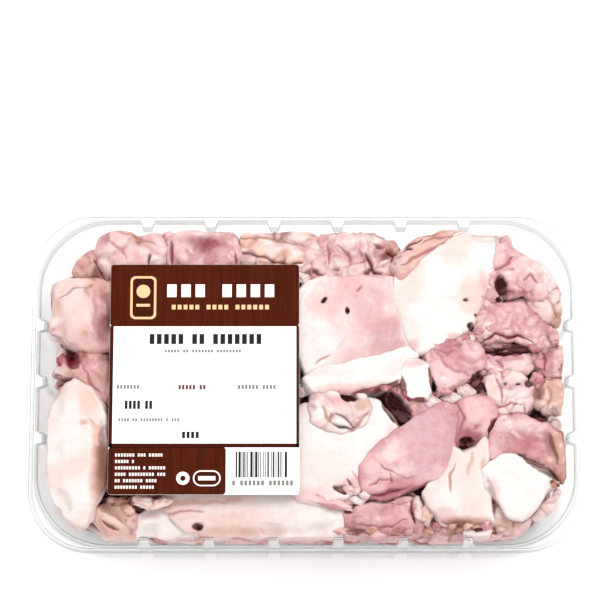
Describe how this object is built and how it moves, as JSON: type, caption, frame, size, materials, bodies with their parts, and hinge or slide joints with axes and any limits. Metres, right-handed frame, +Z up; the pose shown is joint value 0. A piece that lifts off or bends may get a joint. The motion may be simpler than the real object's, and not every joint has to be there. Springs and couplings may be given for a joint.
{
  "type": "veal snout pack",
  "caption": "Raw veal snout cut in pieces, sealed under clear film in a ribbed clear tray with a paper label.",
  "frame": {"origin": "under the middle of the tray's base, on the surface that it stands on", "axes": "+X along the tray's long side, +Y towards its back, +Z up"},
  "size_m": [0.232, 0.147, 0.0413],
  "materials": {
    "tray": "clear thermoformed PET, smooth and glossy",
    "film": "clear lidding film, taut and glossy",
    "label": "printed coated paper, dark brown and white fields",
    "meat_skin": "wet creamy white skin",
    "meat_pale": "wet cream and pink connective tissue",
    "meat_tan": "tan fat and skin edge",
    "meat_muscle": "wet pale pink muscle",
    "meat_dark_muscle": "wet darker red-brown muscle",
    "meat_heap": "wet pink scraps of muscle, fat and skin"
  },
  "bodies": {
    "root": {"tray": "tray", "film": "film", "label": "label", "meat_white_cube": "meat_skin", "meat_white_skin_slab": "meat_skin", "meat_cut_face_skin": "meat_skin", "meat_white_block": "meat_skin", "meat_forked_slab": "meat_skin", "meat_low_white_slab": "meat_skin", "meat_left_skin_slab": "meat_skin", "meat_front_white_bit": "meat_skin", "meat_curled_scrap": "meat_pale", "meat_folded_cream": "meat_pale", "meat_left_cream_block": "meat_pale", "meat_front_long_slab": "meat_pale", "meat_peach_strip": "meat_pale", "meat_back_tan_fold": "meat_pale", "meat_skin_roll": "meat_tan", "meat_fat_nub": "meat_tan", "meat_small_fat_nub": "meat_tan", "meat_brown_wedge": "meat_tan", "meat_cut_face_muscle": "meat_muscle", "meat_rose_slab": "meat_muscle", "meat_lobed_muscle": "meat_muscle", "meat_round_muscle": "meat_muscle", "meat_lobed_cheek": "meat_muscle", "meat_gland_cluster": "meat_muscle", "meat_pale_strip": "meat_muscle", "meat_muscle_wedge": "meat_muscle", "meat_back_left_muscle": "meat_muscle", "meat_front_lens_muscle": "meat_muscle", "meat_front_pale_muscle": "meat_muscle", "meat_brown_end_slab": "meat_dark_muscle", "meat_edge_muscle": "meat_dark_muscle", "meat_left_muscle": "meat_dark_muscle", "meat_back_red_muscle": "meat_dark_muscle", "meat_back_crumpled_muscle": "meat_dark_muscle", "meat_left_brown_flap": "meat_dark_muscle", "meat_heap": "meat_heap"}
  },
  "joints": []
}
